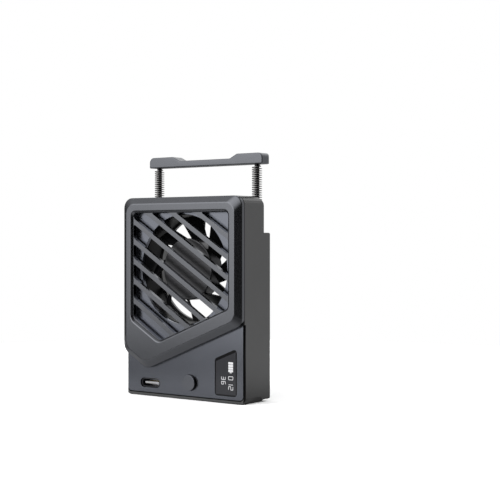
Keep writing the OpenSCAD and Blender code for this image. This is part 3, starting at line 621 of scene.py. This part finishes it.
# %% [markdown]
# ## The display's symbols
# A small display shines through the smoked window. Its charge symbol is a filled cell with a
# nub, and its figures are built from seven strokes each, lying on their sides as they are
# when the fan hangs on a camera. They are thin plates just under the window's surface.

# %% Display symbols
symbol_front = panel_face - 0.02
symbol_back = panel_face + 0.03
strokes = {"top": (0.12, 1, 0.88, 1), "middle": (0.12, 0.5, 0.88, 0.5),
           "bottom": (0.12, 0, 0.88, 0),
           "upper left": (0, 0.56, 0, 0.94), "upper right": (1, 0.56, 1, 0.94),
           "lower left": (0, 0.06, 0, 0.44), "lower right": (1, 0.06, 1, 0.44)}
figures = {"0": ("top", "upper left", "upper right", "lower left", "lower right", "bottom"),
           "1": ("upper right", "lower right"),
           "2": ("top", "upper right", "middle", "lower left", "bottom"),
           "3": ("top", "upper right", "middle", "lower right", "bottom"),
           "6": ("top", "upper left", "middle", "lower left", "lower right", "bottom")}


def figure(sign, x, z, tall, wide, thick):
    """One figure on its side: its foot is at x, its left edge at the height z.

    A stroke is given by its two ends, as shares of the figure's width and height.
    """
    parts = []
    for stroke in figures[sign]:
        u0, v0, u1, v1 = strokes[stroke]
        low = (x + v0 * tall - thick / 2, symbol_front, z - u1 * wide - thick / 2)
        high = (x + v1 * tall + thick / 2, symbol_back, z - u0 * wide + thick / 2)
        parts.append(block("stroke", low, high))
    return parts


cell_x = (20.7, 22.8)
cell_z = (11.4, 12.2)
cell_pitch = 0.92
lit = [block("cell", (cell_x[0], symbol_front, cell_z[0] + step * cell_pitch),
             (cell_x[1], symbol_back, cell_z[1] + step * cell_pitch)) for step in range(4)]
lit.append(block("nub", (21.3, symbol_front, 11.05), (22.2, symbol_back, 11.3)))
for signs, x, z, pitch, tall, wide, thick in (("012", 20.8, 9.8, 1.8, 1.95, 1.15, 0.2),
                                              ("36", 17.6, 9.6, 1.7, 1.75, 1.0, 0.19)):
    for number, sign in enumerate(signs):
        lit += figure(sign, x, z - number * pitch, tall, wide, thick)
print("strokes drawn:", len(lit))
symbols = join(lit, "display_symbols")
soften(symbols, 0.03, 2)
to_metres(symbols)

# %% [markdown]
# ## The socket's contacts
# Inside the socket a thin tongue carries rows of gold contacts. Each is a sliver with a
# rounded nose, modelled once and copied along the tongue.

# %% Socket contacts
socket_x = -half_width + 11.76
socket_z = 4.98
contact_pitch = 0.49
row_gap = 0.73
contact = block("contact", (socket_x - 2.83, face + 5.5, socket_z + 0.33),
                (socket_x - 2.57, face + 7.5, socket_z + 0.40))
soften(contact, 0.03, 2)
row = [contact] + [copy_of(contact, "contact", (contact_pitch * step, 0, 0))
                   for step in range(1, 12)]
row += [copy_of(part, "contact", (0, 0, -row_gap)) for part in list(row)]
print("contacts:", len(row))
contacts = join(row, "socket_contacts")
to_metres(contacts)

# %% [markdown]
# ## Shader maths
# A finish is a small calculation on noise patterns. This class wraps an output of a node, so
# that sums on it can be written as sums, and a second class makes every other node.

# %% Shader helpers
class Value:
    """An output of a node, which can be used in sums."""

    def __init__(self, finish, socket):
        self.finish, self.socket = finish, socket

    def sum(self, operation, first, second):
        return self.finish.node("Math", {"operation": operation}, {0: first, 1: second})

    def __add__(self, other):
        return self.sum("ADD", self, other)

    def __radd__(self, other):
        return self.sum("ADD", other, self)

    def __sub__(self, other):
        return self.sum("SUBTRACT", self, other)

    def __rsub__(self, other):
        return self.sum("SUBTRACT", other, self)

    def __mul__(self, other):
        return self.sum("MULTIPLY", self, other)

    def __rmul__(self, other):
        return self.sum("MULTIPLY", other, self)


class Finish:
    """A material, with one method that adds any node to it.

    A node's settings come first, then the values or links of its sockets.
    """

    def __init__(self, name, **surface):
        self.material = bpy.data.materials.new(name)
        self.material.use_nodes = True
        self.tree = self.material.node_tree
        self.surface = self.tree.nodes["Principled BSDF"]
        self.place = self.node("TexCoord", output="Object")
        self.set(**surface)

    def node(self, kind, settings=None, values=None, output=0):
        made = self.tree.nodes.new("ShaderNode" + kind)
        for name, setting in (settings or {}).items():
            setattr(made, name, setting)
        for name, value in (values or {}).items():
            self.feed(made.inputs[name], value)
        return Value(self, made.outputs[output])

    def feed(self, socket, value):
        if isinstance(value, Value):
            self.tree.links.new(value.socket, socket)
        else:
            socket.default_value = value

    def set(self, **surface):
        for name, value in surface.items():
            self.feed(self.surface.inputs[name.replace("_", " ")], value)

    def noise(self, size, detail=2.0):
        """Noise whose spots are about that size."""
        return self.node("TexNoise", {}, {"Vector": self.place, "Scale": 1 / size,
                                          "Detail": detail})

    def between(self, factor, low, high):
        """A colour between two, by a factor from 0 to 1."""
        return self.node("Mix", {"data_type": "RGBA"},
                         {0: factor, 6: (*low, 1), 7: (*high, 1)}, output=2)

    def bump(self, height, depth, strength=1.0):
        self.set(Normal=self.node("Bump", {}, {"Height": height, "Distance": depth,
                                               "Strength": strength}))


# %% [markdown]
# ## The metal finish
# Cover, panel, shell and arm are blasted with fine beads and dyed dark grey, which leaves a
# soft metallic sheen with tiny pits. The pits are fine noise in the bump, and a second,
# wider noise varies the roughness a little, as fingers and handling do.

# %% Metal finishes
def blasted_metal(name, grey, blue=1.0, roughness=0.24, grain=0.12 * mm):
    finish = Finish(name, Metallic=0.98)
    pits = finish.noise(grain, 3.0)
    cloud = finish.noise(14 * mm, 3.0)
    tone = (grey, grey * (0.75 + 0.25 * blue), grey * blue)
    dark, light = [c * 0.86 for c in tone], [c * 1.14 for c in tone]
    finish.set(Base_Color=finish.between(pits * 0.6 + cloud * 0.4, dark, light),
               Roughness=roughness - 0.05 + pits * 0.06 + cloud * 0.05)
    finish.bump(pits, 0.006 * mm, 0.6)
    return finish.material


cover_metal = blasted_metal("cover_metal", 0.225, 1.12)
panel_metal = blasted_metal("panel_metal", 0.265, 1.2)
shell_metal = blasted_metal("shell_metal", 0.225, 1.01, 0.3)
button_metal = blasted_metal("button_metal", 0.28, 1.16)


def bright_metal(name, colour, roughness, streak=0.3 * mm):
    """Plated or drawn metal with faint streaks."""
    finish = Finish(name, Metallic=1.0)
    marks = finish.noise(streak, 3.0)
    finish.set(Base_Color=finish.between(marks, [c * 0.85 for c in colour], colour),
               Roughness=roughness + marks * 0.12)
    finish.bump(marks, 0.004 * mm, 0.4)
    return finish.material


spring_steel = bright_metal("spring_steel", (0.62, 0.61, 0.60), 0.24)
rod_steel = bright_metal("rod_steel", (0.045, 0.045, 0.048), 0.26)
plated_steel = bright_metal("plated_steel", (0.60, 0.60, 0.62), 0.2)
dark_steel = bright_metal("dark_steel", (0.10, 0.10, 0.11), 0.35)
brass = bright_metal("brass", (0.70, 0.50, 0.22), 0.28)
tongue_steel = bright_metal("tongue_steel", (0.96, 0.96, 0.98), 0.34)
gold = bright_metal("contact_gold", (0.85, 0.62, 0.25), 0.22, 0.1 * mm)
core_steel = bright_metal("core_steel", (0.33, 0.33, 0.34), 0.38)
copper = bright_metal("coil_copper", (0.72, 0.32, 0.14), 0.34, 0.15 * mm)
cell_foil = bright_metal("cell_foil", (0.50, 0.51, 0.53), 0.36, 2 * mm)

# %% [markdown]
# ## Plastics and the display
# The rotor and its frame are black nylon with a faint moulding texture. The plastics inside
# the body, the wires' covers and the boards are made the same way, each with its own two tones
# and its own roughness.

# %% Plastics
def plastic(name, dark, light, roughness, grain=0.25 * mm, depth=0.004 * mm, shine=0.5):
    finish = Finish(name, Metallic=0.0, Specular_IOR_Level=shine)
    texture = finish.noise(grain, 2.0)
    cloud = finish.noise(6 * mm, 2.0)
    finish.set(Base_Color=finish.between(cloud, dark, light),
               Roughness=roughness - 0.04 + texture * 0.08)
    finish.bump(texture, depth, 0.5)
    return finish.material


fan_black = plastic("fan_black", (0.006, 0.006, 0.007), (0.010, 0.010, 0.011), 0.42, shine=0.25)
black_plastic = plastic("black_plastic", (0.012, 0.012, 0.012), (0.018, 0.018, 0.018), 0.35)
white_plastic = plastic("white_plastic", (0.62, 0.59, 0.50), (0.70, 0.67, 0.58), 0.4)
wire_cover = plastic("wire_cover", (0.20, 0.012, 0.010), (0.25, 0.018, 0.014), 0.38)
foam = plastic("foam", (0.02, 0.02, 0.02), (0.05, 0.05, 0.05), 0.85, 0.2 * mm, 0.05 * mm)
board_green = plastic("board_green", (0.010, 0.075, 0.030), (0.016, 0.10, 0.042), 0.25)
amber_film = plastic("amber_film", (0.45, 0.18, 0.02), (0.55, 0.24, 0.03), 0.2)
magnet_black = plastic("magnet_black", (0.03, 0.028, 0.026), (0.045, 0.042, 0.04), 0.5)

# %% [markdown]
# The window is smoked and glossy, and looks dark grey because the display glows faintly
# behind it. A printed black border hides the display's edge. The distance to the window's
# nearest side is worked out from the place on its face, and its slanted top is one more side.

# %% Window with its border
border = 0.35 * mm
border_blur = 0.25 * mm
window = Finish("smoked_window", Metallic=0.0)
corners = [corner.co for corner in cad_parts["display_window"].data.vertices]
left, right = min(c.x for c in corners), max(c.x for c in corners)
bottom, top = min(c.z for c in corners), max(c.z for c in corners)
across = window.node("SeparateXYZ", {}, {0: window.place}, "X")
up = window.node("SeparateXYZ", {}, {0: window.place}, "Z")
to_sides = across.sum("MINIMUM", across - left, right - across)
to_top = (top - (right - across) * math.tan(foot_slope) - up) * math.cos(foot_slope)
to_ends = up.sum("MINIMUM", up - bottom, to_top)
to_edge = up.sum("MINIMUM", to_sides, to_ends)
inside = window.node("MapRange", {}, {"Value": to_edge, "From Min": border,
                                      "From Max": border + border_blur,
                                      "To Min": 0.0, "To Max": 1.0})
window.set(Base_Color=window.between(inside, (0.006, 0.006, 0.007), (0.055, 0.056, 0.063)),
           Roughness=0.10 + window.noise(6 * mm) * 0.05)
print("window size in mm:", round((right - left) / mm, 2), "by", round((top - bottom) / mm, 2))

# %% [markdown]
# The hub's disc is brushed: its noise is turned to the brush's direction and stretched along
# it, so that the spots become streaks. The display's symbols give off a little light.

# %% Hub and symbols
brush_angle = math.radians(-36)
brush_stretch = 0.06
streak = 0.3 * mm
hub_sheen = Finish("hub_sheen", Metallic=0.9)
brushed = hub_sheen.node("Mapping", {}, {"Vector": hub_sheen.place,
                                         "Rotation": (0, brush_angle, 0),
                                         "Scale": (brush_stretch, 1, 1)})
streaks = hub_sheen.node("TexNoise", {}, {"Vector": brushed, "Scale": 1 / streak, "Detail": 2.0})
hub_sheen.set(Base_Color=hub_sheen.between(streaks, (0.075, 0.075, 0.079), (0.155, 0.155, 0.162)),
              Roughness=0.32 + streaks * 0.08)
hub_sheen.bump(streaks, 0.004 * mm, 0.5)

glow = Finish("symbol_glow", Roughness=0.4)
speckle = glow.noise(0.25 * mm)
glow.set(Base_Color=glow.between(speckle, (0.75, 0.75, 0.77), (0.9, 0.9, 0.92)),
         Emission_Color=glow.between(speckle, (0.75, 0.76, 0.8), (1.0, 1.0, 1.0)),
         Emission_Strength=0.28)

# %% [markdown]
# ## Dressing the parts
# A part whose shape is already right keeps it, and only gets its material. Every part gets one,
# also where it is hidden inside, because the model can be opened.

# %% Materials
def dress(material, *pieces):
    for piece in pieces:
        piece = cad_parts.get(piece, piece)
        piece.data.materials.clear()
        piece.data.materials.append(material)


dress(cover_metal, cover, arm, "front_cover", "clamp_arm")
dress(panel_metal, "front_panel")
dress(shell_metal, "rear_shell", shell)
dress(button_metal, "button_cap", button)
dress(spring_steel, left_spring, right_spring, "spring_left", "spring_right",
      "rod_clip_left", "rod_clip_right")
dress(rod_steel, "guide_rod_left", "guide_rod_right")
dress(tongue_steel, "usb_tongue")
dress(plated_steel, "shell_screws", "fan_screws", "board_screws", "temperature_sensor",
      "fan_shaft")
dress(dark_steel, "usb_shell")
dress(brass, "guide_bush_left", "guide_bush_right", "sleeve_bearing")
dress(gold, contacts)
dress(core_steel, "stator_core", "rotor_yoke")
dress(copper, "stator_coils")
dress(cell_foil, "battery_cell")
dress(fan_black, "fan_frame", "impeller", blades)
dress(hub_sheen.material, hub)
dress(black_plastic, "switch_plunger", "board_chips", "display_module", "tact_switch",
      "fan_lead")
dress(white_plastic, "board_connectors", "thrust_pad", "shaft_clip")
dress(wire_cover, "battery_leads")
dress(foam, "battery_pad")
dress(board_green, "main_board", "motor_board")
dress(amber_film, "display_ribbon")
dress(magnet_black, "rotor_magnet")
dress(window.material, "display_window")
dress(glow.material, symbols)

# %% [markdown]
# Three narrow places look darker than the faces beside them, because they lie in shade: the
# button's side, the shell's rim, and the cover's wall along its slanted foot. Their faces are found
# by the way they face, and take a smoother, darker metal, which is painted shade.

# %% Painted shade on narrow edges
# A darker, smoother metal that paints shade onto the narrow edges.
painted_shade_metal = blasted_metal("painted_shade_metal", 0.05, 1.05, 0.2)


def dress_faces(piece, test):
    """Gives the darker metal, which is painted shade, to the faces whose place in mm and direction
    pass the test.
    """
    piece.data.materials.append(painted_shade_metal)
    found = [part for part in piece.data.polygons if test(part.center / mm, part.normal)]
    for part in found:
        part.material_index = 1
    print(piece.name, "faces with the darker metal:", len(found))


dress_faces(button, lambda place, way: way.y > -0.6)
dress_faces(shell, lambda place, way: (place.y < panel_face + rim and way.y < -0.5
                                       and abs(way.x) > 0.5))
dress_faces(cover, lambda place, way: (place.y > face + bevel_depth + 0.2
                                       and place.z < foot_right + 1 and way.z < -0.5))

# %% [markdown]
# ## The moving parts
# Each new piece rides the body of the part that it refines, so that it moves with it. The springs
# ride the casing, fixed at their seats.

# %% Bodies and springs
for piece, body, slot, nodes in (
        (cover, "casing", "cover_metal", ["front_cover"]),
        (arm, "clamp", "clamp_metal", ["clamp_arm"]),
        (left_spring, "casing", "spring_steel", ["spring_left"]),
        (right_spring, "casing", "spring_steel", ["spring_right"]),
        (blades, "rotor", "fan_plastic", ["impeller"]),
        (hub, "rotor", "fan_plastic", ["impeller"]),
        (shell, "casing", "shell_metal", ["rear_shell"]),
        (button, "button", "button_metal", ["button_cap"]),
        (symbols, "casing", "display_plastic", []),
        (contacts, "casing", "plated_steel", [])):
    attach(piece, body)
    if nodes:
        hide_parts(*nodes)
for piece, x in ((left_spring, -rod_x), (right_spring, rod_x)):
    x * mm
    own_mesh(piece)

# %% [markdown]
# ## Floor, background and light
# The photograph has a plain white ground. The floor is white to the camera and keeps the fan's
# shadow. To every other ray it is darker, apart from two places of painted light: a pale patch in
# front of the fan's left half, which the panel mirrors, and paler painted light on the floor behind
# the fan.

# %% Floor
floor_radius = 0.26
painted_light_patch = (-20 * mm, -25 * mm, 0)
clear_selection()
bpy.ops.mesh.primitive_circle_add(vertices=64, radius=floor_radius, fill_type="NGON")
floor = bpy.context.object
floor.name = "floor"
floor_paint_and_light = Finish("floor_paint_and_light")
tree = floor_paint_and_light.tree
ray = floor_paint_and_light.node("LightPath", output="Is Camera Ray")
away = floor_paint_and_light.node("VectorMath", {"operation": "DISTANCE"},
                        {0: floor_paint_and_light.place, 1: painted_light_patch}, "Value")
painted_light_near = floor_paint_and_light.node("MapRange", {"interpolation_type": "SMOOTHSTEP"},
                        {"Value": away, "From Min": 20 * mm, "From Max": 80 * mm,
                         "To Min": 1.0, "To Max": 0.0})
back = floor_paint_and_light.node("SeparateXYZ", {}, {0: floor_paint_and_light.place}, "Y")
behind = floor_paint_and_light.node("MapRange", {"interpolation_type": "SMOOTHSTEP"},
                          {"Value": back, "From Min": -20 * mm, "From Max": 60 * mm,
                           "To Min": 0.0, "To Max": 1.0})
# Painted light: the pale patch in front of the fan and the paler floor behind it stand for lit
# floor, in the colour that mirrored rays see.
floor_tone_and_painted_light = 0.08 + painted_light_near * 0.3 * (1 - behind) + behind * 0.32
plain = floor_paint_and_light.node("BsdfDiffuse", {}, {
    "Color": floor_paint_and_light.between(floor_tone_and_painted_light, (0, 0, 0), (1, 1, 1))})
white = floor_paint_and_light.node("BsdfDiffuse", {}, {"Color": (1.5, 1.5, 1.5, 1)})
shown = floor_paint_and_light.node("MixShader", {}, {0: ray, 1: plain, 2: white})
tree.links.new(shown.socket, tree.nodes["Material Output"].inputs["Surface"])
dress(floor_paint_and_light.material, floor)

# %% [markdown]
# The world is white wherever the camera looks past the fan. What the metal mirrors is a
# studio: a wide soft light at the front left, weaker ones at the left, above and behind, and
# a dim side where the camera stands, which keeps the right-hand bevels nearly black. Each
# light is a soft spot round a direction, and only glossy rays see it.

# %% World
world = bpy.data.worlds.new("studio")
bpy.context.scene.world = world
world.use_nodes = True


class Studio(Finish):
    """The world's nodes, made by the same method."""

    def __init__(self):
        self.tree = world.node_tree
        self.place = self.node("TexCoord", output="Generated")

    def lobe(self, towards, width):
        """Light that is brightest towards a direction and fades over a width in degrees."""
        length = math.sqrt(sum(c * c for c in towards))
        along = self.node("VectorMath", {"operation": "DOT_PRODUCT"},
                          {0: self.place, 1: [c / length for c in towards]}, "Value")
        edge = math.cos(math.radians(width))
        return self.node("MapRange", {"interpolation_type": "SMOOTHSTEP", "clamp": True},
                         {"Value": along, "From Min": edge, "From Max": 1.0,
                          "To Min": 0.0, "To Max": 1.0})


studio = Studio()
mirrored = 0.008
for level, towards, width in ((1.3, (-0.347, -0.86, 0.375), 46),   # front left
                              (0.05, (-0.95, 0.25, 0.0), 45),      # left
                              (0.40, (-0.55, -0.10, 0.85), 55),    # above, to the left
                              (0.35, (0.60, 0.80, 0.05), 55),      # behind on the right
                              (0.2, (0.3, 0.2, 1.0), 60),          # above
                              (0.9, (-0.36, 0.80, 0.48), 45)):     # behind on the left
    mirrored = mirrored + level * studio.lobe(towards, width)
seen = studio.node("LightPath", output="Is Camera Ray")
glossy = studio.node("LightPath", output="Is Glossy Ray")
through = studio.node("LightPath", output="Is Transmission Ray")
strength = seen + through + glossy * mirrored + (1 - seen) * (1 - glossy) * (1 - through) * 0.6
background = world.node_tree.nodes["Background"]
background.inputs["Color"].default_value = (1, 1, 1, 1)
studio.feed(background.inputs["Strength"], strength)

# %% [markdown]
# Two round softboxes light what is not metal and throw the soft shadow. The metal doesn't see
# them, because the world already holds what it mirrors.

# %% Lamps
def softbox(name, location, size, power):
    clear_selection()
    bpy.ops.object.light_add(type="AREA", location=location)
    lamp = bpy.context.object
    lamp.name = name
    lamp.data.shape = "DISK"
    lamp.data.size = size
    lamp.data.energy = power
    lamp.rotation_euler = (-lamp.location).to_track_quat("-Z", "Y").to_euler()
    lamp.visible_glossy = False


softbox("key_light", (-0.55, -0.75, 0.85), 0.7, 9)
softbox("rim_light", (0.7, 0.6, 0.7), 0.6, 4)
